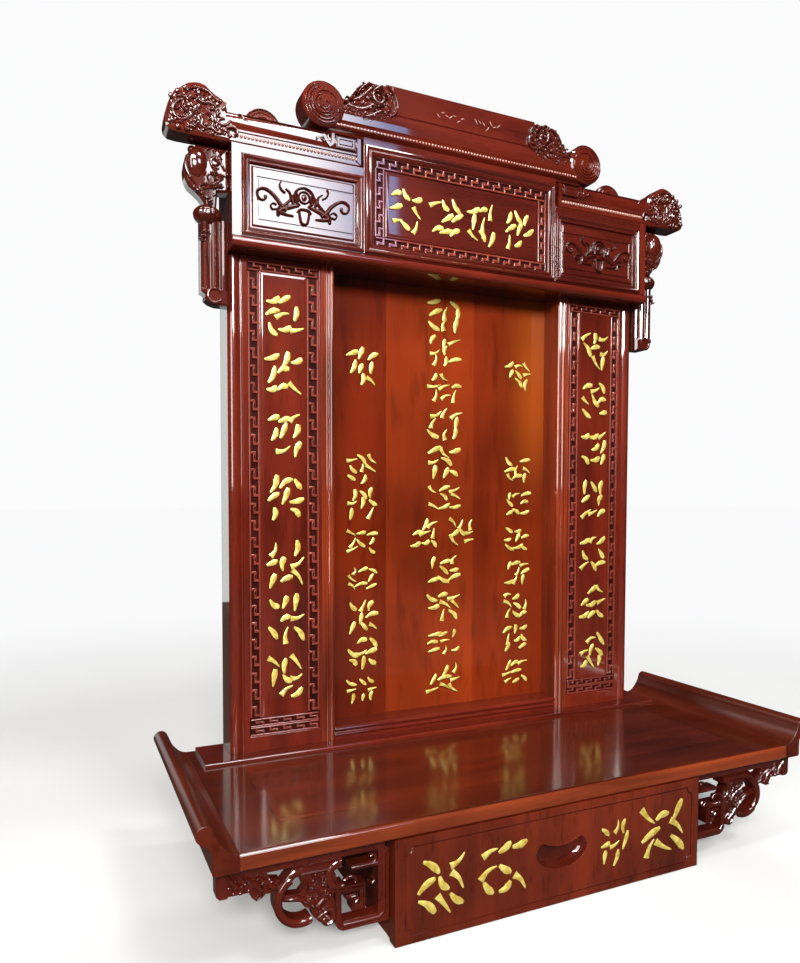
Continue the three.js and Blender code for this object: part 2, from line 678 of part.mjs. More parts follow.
const ridgeCentre = join([
  rail(from(0, CENTRE_RIDGE_Z0, covedFoot), -ROLL_X + 6, ROLL_X - 6),
  plate(scrollBody, HEADER_Y + 4, ridgeBack, 2),
  rail(from(0, CENTRE_RIDGE_Z0, lowBand), -ROLL_X + 2, ROLL_X - 2),
  plate(from(0, CENTRE_RIDGE_Z0, page), HEADER_Y + 2.5, HEADER_Y + 11, 1),
  ...[-1, 1].map(roll),
  ...[-1, 1].flatMap(lump)
    .map((outline) => plate(from(0, CENTRE_RIDGE_Z0, outline), HEADER_Y + 0.4, HEADER_Y + 9)),
]);
add('ridge_centre', ridgeCentre, LACQUER);

// Hanging posts.

const fluteW = POST_OUT / FLUTES;
const postProfile = [[BOARD_HALF, POST_Y1], [BOARD_HALF, POST_Y0 + FLUTE_RISE]];
for (let i = 0; i < FLUTES; i += 1) {
  const x = BOARD_HALF + i * fluteW;
  postProfile.push(...bead(x, x + fluteW, POST_Y0 + FLUTE_RISE, FLUTE_RISE));
}
postProfile.push([BOARD_HALF + POST_OUT, POST_Y1]);
// Drawn outwards from the board's edge and down from the header's top.
const carvedBlock = [
  [0, -1], [41, -1], [44, -9], [51, -14], [55, -23], [57, -36], [55.5, -49],
  [51, -57], [44, -62], [37, -68], [32, -75], [32, -85], [16, -85], [14, -59], [0, -57],
];
const bud = [
  [0, -184], [35, -184], [36, -189], [31, -192.5], [32, -198], [26, -202.5], [17, -205],
  [0, -205],
];
const postMid = (POST_Y0 + POST_Y1) / 2;
const ellipsoid = (x, z, rx, ry, rz) => {
  const geometry = new THREE.SphereGeometry(1, 14, 8).rotateX(Math.PI / 2).scale(rx, ry, rz);
  return manifold(geometry.translate(BOARD_HALF + x, postMid, SIDE_TOP + z));
};
const beyondBoard = box(BOARD_HALF, LENGTH, FRONT_Y, BACK_Y, TABLE_TOP, SIDE_TOP - 0.5);
const hangingPost = join([
  upright(postProfile, ...POST_Z),
  plate(from(BOARD_HALF, SIDE_TOP, carvedBlock), POST_Y0, POST_Y1, 3),
  plate(from(BOARD_HALF, SIDE_TOP, bud), POST_Y0 - 2, POST_Y1, 3),
  ellipsoid(26, -88, 18.5, 14, 13),
  ellipsoid(34, -33, 13, 14, 20),
  ellipsoid(45, -6.5, 5.5, 6, 5.5),
]).intersect(beyondBoard);
addPair('hanging_post', hangingPost, LACQUER);

export default group;
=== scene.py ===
# The carcass: drawer case, plinth, backs and tops, sawn boards glued up and left as the
# frame has them. Rosewood-coloured hardwood, stained red brown and finished in thick
# clear lacquer, with the grain running along each board.
import math
import random

import bmesh
import bpy
from mathutils import Matrix, Vector


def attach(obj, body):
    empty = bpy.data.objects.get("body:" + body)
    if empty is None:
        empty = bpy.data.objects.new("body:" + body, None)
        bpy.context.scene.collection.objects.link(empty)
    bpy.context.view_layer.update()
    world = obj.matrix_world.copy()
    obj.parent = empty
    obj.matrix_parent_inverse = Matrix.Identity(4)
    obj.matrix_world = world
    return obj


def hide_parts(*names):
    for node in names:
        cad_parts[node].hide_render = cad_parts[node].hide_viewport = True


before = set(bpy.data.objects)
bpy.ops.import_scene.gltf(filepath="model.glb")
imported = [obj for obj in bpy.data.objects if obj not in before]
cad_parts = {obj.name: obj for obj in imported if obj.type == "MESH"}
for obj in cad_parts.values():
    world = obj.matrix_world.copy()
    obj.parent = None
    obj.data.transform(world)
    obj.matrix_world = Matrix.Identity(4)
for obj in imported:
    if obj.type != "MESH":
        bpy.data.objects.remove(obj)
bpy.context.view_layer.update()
MM = 0.001


def wire(tree, kind, inputs=None, **settings):
    """One node with its settings, its values and the sockets that feed it."""
    made = tree.nodes.new(kind)
    for key, value in settings.items():
        setattr(made, key, value)
    for key, value in (inputs or {}).items():
        if isinstance(value, bpy.types.NodeSocket):
            tree.links.new(value, made.inputs[key])
        else:
            made.inputs[key].default_value = value
    return made


def blend(tree, amount, first, second, mode="MIX"):
    """Two colours mixed by an amount."""
    mixed = wire(tree, "ShaderNodeMix", data_type="RGBA", blend_type=mode)
    for slot, value in ((0, amount), (6, first), (7, second)):
        if isinstance(value, bpy.types.NodeSocket):
            tree.links.new(value, mixed.inputs[slot])
        else:
            mixed.inputs[slot].default_value = value
    return mixed.outputs[2]


def group(name, inputs, outputs):
    """An empty node group with its sockets, and its two end nodes."""
    tree = bpy.data.node_groups.new(name, "ShaderNodeTree")
    for label, kind, value in inputs:
        socket = tree.interface.new_socket(name=label, in_out="INPUT", socket_type=kind)
        socket.default_value = value
    for label, kind in outputs:
        tree.interface.new_socket(name=label, in_out="OUTPUT", socket_type=kind)
    return tree, tree.nodes.new("NodeGroupInput").outputs, tree.nodes.new("NodeGroupOutput").inputs


def reckon(tree, operation, *values, **settings):
    """A sum on values or sockets."""
    return wire(tree, "ShaderNodeMath", dict(enumerate(values)), operation=operation, **settings).outputs[0]


def remap(tree, value, low, high, new_low=0.0, new_high=1.0, **settings):
    """A value moved from one range to another."""
    inputs = dict(enumerate((value, low, high, new_low, new_high)))
    return wire(tree, "ShaderNodeMapRange", inputs, **settings).outputs[0]


def noise(tree, place, **values):
    """A soft random pattern."""
    return wire(tree, "ShaderNodeTexNoise", {"Vector": place, **values}).outputs[0]


def object_place(tree):
    """The place on the object, in metres."""
    return wire(tree, "ShaderNodeTexCoord").outputs["Object"]


def object_axes(tree):
    """The place on the object, as its X, Y and Z."""
    return wire(tree, "ShaderNodeSeparateXYZ", {0: object_place(tree)}).outputs


stained_grain, given, put = group(
    "stained_grain",
    [
        ("Stretch", "NodeSocketVector", (5.0, 60.0, 60.0)),
        ("Deep", "NodeSocketColor", (0.05, 0.006, 0.004, 1)),
        ("Bright", "NodeSocketColor", (0.22, 0.03, 0.012, 1)),
        ("Shift", "NodeSocketFloat", 0.0),
    ],
    [("Color", "NodeSocketColor"), ("Roughness", "NodeSocketFloat"), ("Height", "NodeSocketFloat")],
)
moved = wire(
    stained_grain,
    "ShaderNodeVectorMath",
    {0: object_place(stained_grain), 1: given["Shift"]},
    operation="ADD",
).outputs[0]
along = wire(
    stained_grain, "ShaderNodeVectorMath", {0: moved, 1: given["Stretch"]}, operation="MULTIPLY"
).outputs[0]
bands = noise(stained_grain, along, Scale=1.0, Detail=4.0, Roughness=0.5, Distortion=0.4)
pores = noise(stained_grain, along, Scale=9.0, Detail=2.0, Roughness=0.5)
cloud = noise(stained_grain, moved, Scale=4.0, Detail=3.0)
streak = remap(stained_grain, bands, 0.3, 0.7, 0.0, 0.55)
stain = remap(stained_grain, cloud, 0.3, 0.7, 0.0, 0.6)
tone = reckon(stained_grain, "ADD", streak, stain, use_clamp=True)
open_pore = remap(stained_grain, pores, 0.3, 0.45, 0.35, 0.0)
body_colour = blend(stained_grain, tone, given["Deep"], given["Bright"])
for value, socket in (
    (blend(stained_grain, open_pore, body_colour, given["Deep"]), "Color"),
    (remap(stained_grain, bands, 0.0, 1.0, 0.26, 0.42), "Roughness"),
    (reckon(stained_grain, "SUBTRACT", bands, open_pore), "Height"),
):
    stained_grain.links.new(value, put[socket])


def lacquer(name, stretch, deep, bright, coat=1.0, dull=0.05, shift=0.0):
    """Stained wood under clear lacquer, the grain drawn out along the small stretch."""
    made = bpy.data.materials.new(name)
    made.use_nodes = True
    tree = made.node_tree
    shader = tree.nodes["Principled BSDF"]
    grain = wire(tree, "ShaderNodeGroup", node_tree=stained_grain)
    grain.inputs["Stretch"].default_value = stretch
    grain.inputs["Deep"].default_value = (*deep, 1)
    grain.inputs["Bright"].default_value = (*bright, 1)
    grain.inputs["Shift"].default_value = shift
    raised = wire(
        tree, "ShaderNodeBump", {"Height": grain.outputs["Height"], "Strength": 0.12, "Distance": 0.4 * MM}
    )
    tree.links.new(grain.outputs["Color"], shader.inputs["Base Color"])
    tree.links.new(grain.outputs["Roughness"], shader.inputs["Roughness"])
    tree.links.new(raised.outputs[0], shader.inputs["Normal"])
    shader.inputs["Coat Weight"].default_value = coat
    shader.inputs["Coat Roughness"].default_value = dull
    shader.inputs["Specular IOR Level"].default_value = 0.03
    shader.inputs["Coat IOR"].default_value = 1.55
    return made


RED_DEEP, RED_BRIGHT = (0.021, 0.0021, 0.0013), (0.096, 0.0098, 0.0037)
level_lacquer = lacquer("level_lacquer", (4, 40, 40), RED_DEEP, RED_BRIGHT)
upright_lacquer = lacquer("upright_lacquer", (40, 40, 4), RED_DEEP, RED_BRIGHT, shift=3.0)
back_lacquer = lacquer("back_lacquer", (40, 40, 4), RED_DEEP, RED_BRIGHT, coat=0.3, dull=0.35, shift=3.0)
for name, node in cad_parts.items():
    finish = level_lacquer
    if name in ("board_back", "header_back"):
        finish = back_lacquer
    elif name == "drawer_case" or name.startswith(("header_end", "header_cheek")):
        finish = upright_lacquer
    node.data.materials.clear()
    node.data.materials.append(finish)


# The drawer box behind the front: thin boards of paler secondary wood, rebated together,
# with only a wiped coat of varnish on them.
drawer_wood = lacquer("drawer_wood", (6, 80, 80), (0.07, 0.03, 0.015), (0.2, 0.1, 0.05), coat=0.1)
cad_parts["drawer_box"].data.materials.clear()
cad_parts["drawer_box"].data.materials.append(drawer_wood)


# The table top: a wide board in a flush frame with mitred front corners, its front edge
# rounded over above and eased below, lying on the drawer case and pinned from underneath.
def run_outline(mesh, points, plane, start, end):
    """A flat outline in millimetres, run from start to end across its plane."""
    put_at = {
        "xz": lambda a, b: (a, start, b),
        "yz": lambda a, b: (start, a, b),
        "xy": lambda a, b: (a, b, start),
    }[plane]
    across = {"xz": (0, 1, 0), "yz": (1, 0, 0), "xy": (0, 0, 1)}[plane]
    face = mesh.faces.new([mesh.verts.new(Vector(put_at(a, b)) * MM) for a, b in points])
    grown = bmesh.ops.extrude_face_region(mesh, geom=[face])["geom"]
    verts = [part for part in grown if isinstance(part, bmesh.types.BMVert)]
    bmesh.ops.translate(mesh, verts=verts, vec=Vector(across) * (end - start) * MM)


def arc(cx, cz, radius, start, end, count):
    """Points round a circle, with the angles in degrees."""
    turns = [math.radians(start + (end - start) * i / count) for i in range(count + 1)]
    return [(cx + radius * math.cos(a), cz + radius * math.sin(a)) for a in turns]


ROUND = 62


def fit(mesh, name, finish, *stands_for, body="altar", smooth=35, edge=0.0, slot="lacquered_wood"):
    """A finished mesh as a piece: shaded, its edges eased, and fixed to its body."""
    bmesh.ops.recalc_face_normals(mesh, faces=mesh.faces)
    data = bpy.data.meshes.new(name)
    mesh.to_mesh(data)
    mesh.free()
    data.materials.append(finish)
    data.shade_smooth()
    data.set_sharp_from_angle(angle=math.radians(smooth))
    piece = bpy.data.objects.new(name, data)
    bpy.context.scene.collection.objects.link(piece)
    if edge:
        eased = piece.modifiers.new("eased_edges", "BEVEL")
        eased.width = edge * MM
        eased.segments = 2
        eased.limit_method = "ANGLE"
        eased.angle_limit = math.radians(38)
    if smooth < ROUND:
        flat = piece.modifiers.new("flat_faces", "WEIGHTED_NORMAL")
        flat.keep_sharp = True
        flat.weight = 80
    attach(piece, body)
    if stands_for:
        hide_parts(*stands_for)
    return piece


def corners(x0, y0, x1, y1):
    """The four corners of a rectangle."""
    return [(x0, y0), (x1, y0), (x1, y1), (x0, y1)]


SLAB_FRONT, BACK = -165, 166
SLAB_UNDER, SLAB_TOP = 122.5, 141.5
SLAB_END = 396
OVER_R, UNDER_R = 6, 3
slab = bmesh.new()
slab_edge = [
    (BACK, SLAB_UNDER),
    (BACK, SLAB_TOP),
    *arc(SLAB_FRONT + OVER_R, SLAB_TOP - OVER_R, OVER_R, 90, 180, 10),
    *arc(SLAB_FRONT + UNDER_R, SLAB_UNDER + UNDER_R, UNDER_R, 180, 270, 5),
]
run_outline(slab, slab_edge, "yz", -SLAB_END, SLAB_END)
table_lacquer = lacquer(
    "table_lacquer", (3, 24, 24), (0.016, 0.0018, 0.001), (0.085, 0.0105, 0.0024), dull=0.13, shift=1.0
)
FRAME_WIDE, JOINT_WIDE = 0.056, 0.0006
JOINT_DARK, BAND_DARK = (0.006, 0.001, 0.001, 1), (0.012, 0.002, 0.001, 1)
table_tree = table_lacquer.node_tree
table_at = object_axes(table_tree)
from_end = reckon(table_tree, "SUBTRACT", SLAB_END * MM, reckon(table_tree, "ABSOLUTE", table_at["X"]))
from_front = reckon(table_tree, "ADD", table_at["Y"], -SLAB_FRONT * MM)
from_edge = reckon(table_tree, "MINIMUM", from_end, from_front)
on_frame = reckon(table_tree, "LESS_THAN", from_edge, FRAME_WIDE)
seam = reckon(table_tree, "COMPARE", from_edge, FRAME_WIDE, JOINT_WIDE)
mitre = reckon(table_tree, "COMPARE", from_end, from_front, JOINT_WIDE)
joint = reckon(table_tree, "MAXIMUM", seam, reckon(table_tree, "MULTIPLY", mitre, on_frame))
table_wood = table_tree.nodes["Group"].outputs["Color"]
# Within FRAME_WIDE of the ends and the front the colour is mixed 30% towards a darker red.
darkened_band = blend(table_tree, 0.3, table_wood, BAND_DARK)
framed = blend(table_tree, on_frame, table_wood, darkened_band)
table_tree.links.new(
    blend(table_tree, joint, framed, JOINT_DARK), table_tree.nodes["Principled BSDF"].inputs["Base Color"]
)
table_board = fit(slab, "table_slab", table_lacquer, "table_top")
# The front-facing faces of the slab's edge take a paler, more orange lacquer: painted light on the edge
# that faces the lamps.
front_edge_painted_light = lacquer(
    "front_edge_painted_light", (3, 24, 60), (0.024, 0.0034, 0.0016), (0.14, 0.023, 0.006), shift=2.0
)
table_board.data.materials.append(front_edge_painted_light)
for face in table_board.data.polygons:
    if face.normal.y < -0.6:
        face.material_index = 1


# The plinth strip: a thin board planted on the slab, its front edge rounded, on which the
# back board stands.
PLINTH_FRONT, PLINTH_R, PLINTH_HALF = 89, 2.5, 384
plinth = bmesh.new()
plinth_edge = [
    (BACK, SLAB_TOP),
    (BACK, SLAB_TOP + 2 * PLINTH_R),
    *arc(PLINTH_FRONT + PLINTH_R, SLAB_TOP + PLINTH_R, PLINTH_R, 90, 180, 6),
    (PLINTH_FRONT, SLAB_TOP),
]
run_outline(plinth, plinth_edge, "yz", -PLINTH_HALF, PLINTH_HALF)
fit(plinth, "plinth_strip", level_lacquer, "back_plinth")


# The turned-up ends: a shaped length of the same wood butted to each end of the slab,
# hollowed on top and rolled over at its outer edge like the end of a scroll.
def mirrored(mesh):
    """The same mesh, with its mirror image across the middle added."""
    half = bpy.data.meshes.new("half")
    mesh.to_mesh(half)
    both = bmesh.new()
    both.from_mesh(half)
    bmesh.ops.scale(both, vec=(-1, 1, 1), verts=both.verts)
    both.from_mesh(half)
    return both


def flow(points, steps=6):
    """A smooth line through the points."""
    knots = [Vector((*p, 0)) for p in points]
    line = []
    for i in range(len(knots) - 1):
        a, b, c, d = knots[max(i - 1, 0)], knots[i], knots[i + 1], knots[min(i + 2, len(knots) - 1)]
        for k in range(steps):
            t = k / steps
            second, third = 2 * a - 5 * b + 4 * c - d, 3 * b - a - 3 * c + d
            line.append(0.5 * (2 * b + (c - a) * t + second * t**2 + third * t**3))
    line.append(knots[-1])
    return [(p.x, p.y) for p in line]


ROLL_X, ROLL_Z, ROLL_R = 430.5, 166.5, 9.4
flange = bmesh.new()
hollow = flow([(421, 166.5), (417.5, 158.5), (411.5, 150.5), (404.5, 144.3), (SLAB_END, SLAB_TOP)])
outside = [(SLAB_END, SLAB_UNDER), (420, SLAB_UNDER), *arc(420.5, 125.5, 3, -60, 0, 4)]
outside += flow([(423.5, 138.5), (424.5, 146.5), (428, 152.5), (434.6, 157.8)], 5)
roll = arc(ROLL_X, ROLL_Z, ROLL_R, -55, 180, 22)
run_outline(flange, [*outside, *roll, *hollow[1:]], "xz", SLAB_FRONT, BACK)
END_DEEP, END_BRIGHT = (0.016, 0.0018, 0.001), (0.075, 0.0105, 0.004)
end_lacquer = lacquer("end_lacquer", (24, 3, 24), END_DEEP, END_BRIGHT, coat=0.45, dull=0.24, shift=4.0)
fit(mirrored(flange), "turned_up_ends", end_lacquer, "end_flange_right", "end_flange_left", edge=0.5)


# The drawer front: a solid board overlapping its case, with a shallow cut line round it,
# a finger recess scooped at the middle, and four carved and gilded marks.
def copied(*names):
    """A mesh of the named frame pieces, merged and with its flat faces made whole."""
    mesh = bmesh.new()
    for name in names:
        mesh.from_mesh(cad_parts[name].data)
    bmesh.ops.remove_doubles(mesh, verts=mesh.verts, dist=0.00001)
    bmesh.ops.dissolve_limit(mesh, angle_limit=math.radians(1), verts=mesh.verts, edges=mesh.edges)
    return mesh


def dress(name, finish, *nodes, **how):
    """A finished copy of the named frame pieces, which stands for them."""
    return fit(copied(*nodes), name, finish, *nodes, **how)


def carved_run(mesh, path, widths, y, rise, sides=8):
    """A rounded run along a path in (x, z), swelling through the widths, half sunk at y."""
    last = len(path) - 1
    places = []
    for i, (x, z) in enumerate(path):
        (ax, az), (bx, bz) = path[max(i - 1, 0)], path[min(i + 1, last)]
        along = Vector((bx - ax, 0, bz - az)).normalized()
        spot = i / last * (len(widths) - 1)
        k = min(int(spot), len(widths) - 2)
        width = widths[k] + (widths[k + 1] - widths[k]) * (spot - k)
        across = along.cross(Vector((0, 1, 0))) * width / 2
        outward = Vector((0, -1, 0)) * rise * min(1, 0.35 + width / max(widths))
        turn = Matrix((across * MM, outward * MM, along * MM)).transposed().to_4x4()
        places.append(Matrix.Translation(Vector((x, y, z)) * MM) @ turn)
    run = bmesh.new()
    ring = bmesh.ops.create_circle(run, cap_ends=True, segments=sides, radius=1, matrix=places[0])
    face = ring["verts"][0].link_faces[0]
    for before, after in zip(places, places[1:]):
        grown = bmesh.ops.extrude_face_region(run, geom=[face])["geom"]
        face = next(part for part in grown if isinstance(part, bmesh.types.BMFace))
        bmesh.ops.transform(run, matrix=after @ before.inverted(), verts=face.verts)
    length = bpy.data.meshes.new("run")
    run.to_mesh(length)
    mesh.from_mesh(length)
    run.free()
    bpy.data.meshes.remove(length)


def brush_mark(mesh, cut, x, z, wide, high, y, rise, chance):
    """A loose cluster of separate tapered brush touches, each over a wider dark run painted as the shadow
    of a cut round it.
    """
    spots = [(u, v) for v in (0.32, 0.0, -0.32) for u in (-0.31, 0.0, 0.31)]
    brush = 0.12 * min(wide, high)
    for u, v in chance.sample(spots, 8):
        u, v = u + chance.uniform(-0.05, 0.05), v + chance.uniform(-0.05, 0.05)
        lean = math.radians(chance.choice((12, 18, 30, 65, 80, -35, -50)))
        reach = 0.19 + chance.uniform(-0.05, 0.03)
        bow = chance.uniform(-0.06, 0.06)
        knots = [
            (u - reach * math.cos(lean), v - reach * math.sin(lean)),
            (u - bow * math.sin(lean), v + bow * math.cos(lean)),
            (u + reach * math.cos(lean), v + reach * math.sin(lean)),
        ]
        path = flow([(x + a * wide, z + b * high) for a, b in knots], 5)
        widths = chance.choice(((0.5, 1.0, 1.3, 0.5), (1.3, 0.9, 0.6, 0.25), (0.4, 0.9, 1.4, 0.8)))
        carved_run(mesh, path, [brush * w for w in widths], y, rise)
        # Painted shadow: a wider, nearly flat dark run under each touch, set down and to the left of it.
        below = [(a - 0.5, b - 0.5) for a, b in path]
        carved_run(cut, below, [brush * w + 1.6 for w in widths], y + 0.1, 0.35, 6)


gilt = bpy.data.materials.new("gilt")
gilt.use_nodes = True
gilt_tree = gilt.node_tree
gilt_shader = gilt_tree.nodes["Principled BSDF"]
leaf_wear = noise(gilt_tree, object_place(gilt_tree), Scale=160.0, Detail=4.0)
GOLD_DEEP, GOLD_BRIGHT = (0.36, 0.25, 0.035, 1), (0.55, 0.47, 0.13, 1)
gold = blend(gilt_tree, remap(gilt_tree, leaf_wear, 0.35, 0.65), GOLD_DEEP, GOLD_BRIGHT)
gilt_tree.links.new(gold, gilt_shader.inputs["Base Color"])
gold_rough = remap(gilt_tree, leaf_wear, 0.0, 1.0, 0.28, 0.5)
gilt_tree.links.new(gold_rough, gilt_shader.inputs["Roughness"])
gilt_shader.inputs["Metallic"].default_value = 0.35
# Near black, uncoated lacquer for the dark runs under the gilt marks: painted shadow round each mark.
cut_shadow = lacquer(
    "cut_shadow", (20, 20, 20), (0.004, 0.001, 0.001), (0.014, 0.003, 0.002), coat=0.0
)

FACE_Y, MARK_RISE = -165.2, 0.75
drawer_face = copied("drawer_front")
front_verts = [v for v in drawer_face.verts if v.co.y < -0.1655]
bmesh.ops.translate(drawer_face, verts=front_verts, vec=(0, 0.7 * MM, 0))
drawer_lacquer = lacquer(
    "drawer_lacquer", (24, 30, 5), (0.007, 0.0009, 0.0007), (0.094, 0.0115, 0.0036), shift=5.0
)
drawer_board = fit(drawer_face, "drawer_face", drawer_lacquer, "drawer_front", body="drawer")
carved_lacquer = lacquer(
    "carved_lacquer", (20, 20, 20), (0.012, 0.0012, 0.0009), (0.062, 0.0068, 0.003), shift=7.0
)
# The faces inside the finger recess take the darker carved lacquer: painted shade in the hollow.
drawer_board.data.materials.append(carved_lacquer)
for face in drawer_board.data.polygons:
    x, y, z = face.center / MM
    if abs(x) < 39 and 44 < z < 81 and -164.8 < y < -153:
        face.material_index = 1
recess_rim = bmesh.new()
low_rim = [(39.4 * a, 68 + 23.8 * b) for a, b in arc(0, 0, 1, 180, 360, 30)]
high_rim = flow([(38.9, 70), (37, 77), (34, 79.6), (28.5, 81), (20, 77.2), (8, 74.2), (0, 73.6)], 5)
for side in (-1, 1):
    carved_run(recess_rim, [(side * a, b) for a, b in high_rim], (1.5, 1.7), FACE_Y, 0.7, 6)
carved_run(recess_rim, low_rim, (1.5, 1.7, 1.5), FACE_Y, 0.7, 6)
fit(recess_rim, "recess_rim", drawer_lacquer, body="drawer", smooth=ROUND)
drawer_marks, drawer_mark_shadows = bmesh.new(), bmesh.new()
chance = random.Random(4)
for x0, x1, z0, z1 in (
    (-195, -133, 27, 99),
    (-116, -51, 30, 96),
    (60, 106, 31, 89),
    (123, 205, 27, 95),
):
    centre, size = ((x0 + x1) / 2, (z0 + z1) / 2), (x1 - x0, z1 - z0)
    brush_mark(drawer_marks, drawer_mark_shadows, *centre, *size, FACE_Y, MARK_RISE, chance)
fit(drawer_marks, "drawer_marks", gilt, body="drawer", smooth=ROUND)
# The dark runs under the marks are painted shadow.
fit(drawer_mark_shadows, "drawer_mark_painted_shadows", cut_shadow, body="drawer")


# The brackets under the slab: pierced carving in a plank, a scroll and a curling leaf
# between a hanging end leaf and a squared frame, glued up behind the drawer front.
def dome(mesh, x, y, z, rx, ry, rz, turns=10):
    """A rounded boss."""
    size = Matrix.Diagonal((rx * MM, ry * MM, rz * MM, 1))
    place = Matrix.Translation(Vector((x, y, z)) * MM) @ size
    bmesh.ops.create_uvsphere(mesh, u_segments=turns, v_segments=max(6, turns // 2), radius=1, matrix=place)


def foliage(mesh, outline, y, rise, pitch, chance):
    """Small curled leaves and round buds packed inside an outline."""
    sides = list(zip(outline, outline[1:] + outline[:1]))

    def inside(x, z):
        crossings = [
            ax + (z - az) / (bz - az) * (bx - ax)
            for (ax, az), (bx, bz) in sides
            if (az > z) != (bz > z)
        ]
        return sum(cross > x for cross in crossings) % 2

    low, high = min(p[1] for p in outline), max(p[1] for p in outline)
    left, right = min(p[0] for p in outline), max(p[0] for p in outline)
    z, row = low + pitch / 2, 0
    while z < high:
        x = left + (row % 2) * pitch / 2
        while x < right:
            if inside(x, z):
                turn = chance.uniform(0, 360)
                sweep = chance.choice((170, 210, -190, -150))
                size = pitch * chance.uniform(0.42, 0.58)
                px = x + chance.uniform(-0.12, 0.12) * pitch
                pz = z + chance.uniform(-0.12, 0.12) * pitch
                leaf = arc(px, pz, size, turn, turn + sweep, 7)
                if all(inside(a, b) for a, b in leaf):
                    carved_run(mesh, leaf, [pitch * w for w in (0.15, 0.5, 0.42, 0.12)], y, rise, 6)
                if chance.random() < 0.5:
                    dome(mesh, px, y, pz, pitch * 0.26, rise * 0.9, pitch * 0.26, 10)
            x += pitch
        z, row = z + pitch * 0.85, row + 1


LEAF_Y, STEM_Y, SCROLL_Y = -149.5, -150, -151.2
bracket_leaf = bmesh.new()
chance = random.Random(3)
foliage(
    bracket_leaf,
    [(327, 96), (322, 99), (312, 99), (300, 96), (291, 91), (289, 78), (293, 68), (290, 58), (289, 48),
     (292, 42), (300, 41), (307, 44), (313, 52), (316, 61), (323, 64), (326, 72), (324, 84)],
    LEAF_Y, 3.6, 7.5, chance,
)
foliage(
    bracket_leaf,
    [(407, 118), (406, 93), (385, 93), (381, 87), (376, 83), (367, 88), (359, 88), (354, 93),
     (354, 99), (362, 102), (368, 118)],
    LEAF_Y, 3.2, 8.5, chance,
)
for run in (
    [(326, 92), (318, 86), (308, 80), (303, 70), (310, 62), (304, 54), (296, 47)],
    [(347, 77), (336, 76), (328, 73), (320, 68), (314, 60)],
    [(408, 118), (402, 108), (396, 101), (388, 96)],
    [(392, 112), (382, 104), (374, 96), (372, 88), (377, 84)],
    [(376, 108), (366, 100), (358, 93), (352, 90)],
    [(310, 50), (301, 55), (293, 51), (293, 43), (300, 40), (305, 46), (300, 49)],
):
    carved_run(bracket_leaf, flow(run, 4), (3, 7, 6, 3), STEM_Y, 4.6)
bracket_scroll = bmesh.new()
for path, widths, rise in (
    (arc(328, 74, 25.5, 62, -115, 32), (10, 9.5, 8.5, 7.5), 4.5),
    (arc(328, 74, 29.6, 64, -112, 32), (1.8, 1.8), 3.0),
    (flow([(344, 96), (337, 102.5), (326, 104.5), (305, 104.5), (284, 104.5)], 5), (8, 11), 3.0),
    ([(283, 108.4), (336, 108.4)], (2.2, 2.2), 4.2),
    ([(283, 100.6), (329, 100.6)], (2.2, 2.2), 4.2),
    (arc(284, 91, 13.5, 92, -110, 22), (11, 9, 6), 4.0),
    ([(241, 95), (272, 95)], (6, 5), 3.0),
    (flow([(246, 96), (243, 101), (245, 106), (250, 105)], 4), (4, 5, 3), 3.2),
    ([(286.6, 76), (286.6, 40), (281, 33.2), (238, 33.2), (233, 38), (233, 106)], (5.5, 5.5), 2.6),
    ([(288, 72.4), (258.6, 72.4), (258.6, 51), (268, 51), (268, 60)], (4.6, 4.6), 2.6),
    (flow([(274, 64), (266, 64), (264, 60), (268, 57), (271, 60)], 4), (2, 3.6, 3), 2.8),
    (flow([(252, 78), (248, 74), (244, 76), (246, 80)], 4), (2, 4, 3), 2.6),
    (flow([(281, 84), (272, 86), (266, 82), (268, 78)], 4), (3, 5, 3), 2.6),
):
    carved_run(bracket_scroll, path, widths, SCROLL_Y, rise)
fit(mirrored(bracket_leaf), "bracket_leaves", carved_lacquer, smooth=ROUND)
fit(mirrored(bracket_scroll), "bracket_scrolls", carved_lacquer, smooth=ROUND)
dress("bracket_planks", carved_lacquer, "bracket_right", "bracket_left", edge=1.2)


# The board's frame: beaded stiles at its edges and beside the middle, and a beaded rail
# across the foot of the middle panel, tenoned together on the plinth.
dress("outer_stiles", upright_lacquer, "outer_stile_right", "outer_stile_left", edge=0.6)
stile_lacquer = lacquer("stile_lacquer", (60, 60, 3), (0.035, 0.004, 0.002), (0.17, 0.023, 0.006))
dress("inner_stiles", stile_lacquer, "inner_stile_right", "inner_stile_left", edge=0.5)
dress("foot_rail", level_lacquer, "board_rail", edge=0.5)


# The couplet panels: a board with a sunk border of fretwork let in round a raised field,
# and seven gilded marks cut down the field.
def fret(mesh, along, across, upright, floor, front, pitch, bar):
    """Pairs of interlocked square hooks down a border, between two rails."""

    def planted(outline):
        turned = [(b, a) for a, b in outline] if upright else outline
        run_outline(mesh, turned, "xz", floor, front)

    start, end = along
    near, far = across
    reach = (far - near) * 0.64
    for side in (near - 0.4 * bar, far - 0.4 * bar):
        planted(corners(start, side, end, side + 0.8 * bar))
    count = max(1, round((end - start) / pitch))
    step = (end - start) / count
    for i in range(count):
        s = start + (i + 0.04) * step
        low, high = s + 0.44 * step, s + 0.06 * step + bar
        for (s0, t0), (s1, t1), t2, arm in (
            ((s, near), (low, near + reach - bar), near + reach, bar),
            ((s + 0.5 * step + bar, far), (high, far - reach + bar), far - reach, -bar),
        ):
            planted([(s0, t0), (s0 + arm, t0), (s0 + arm, t1), (s1, t1), (s1, t2), (s0, t2)])
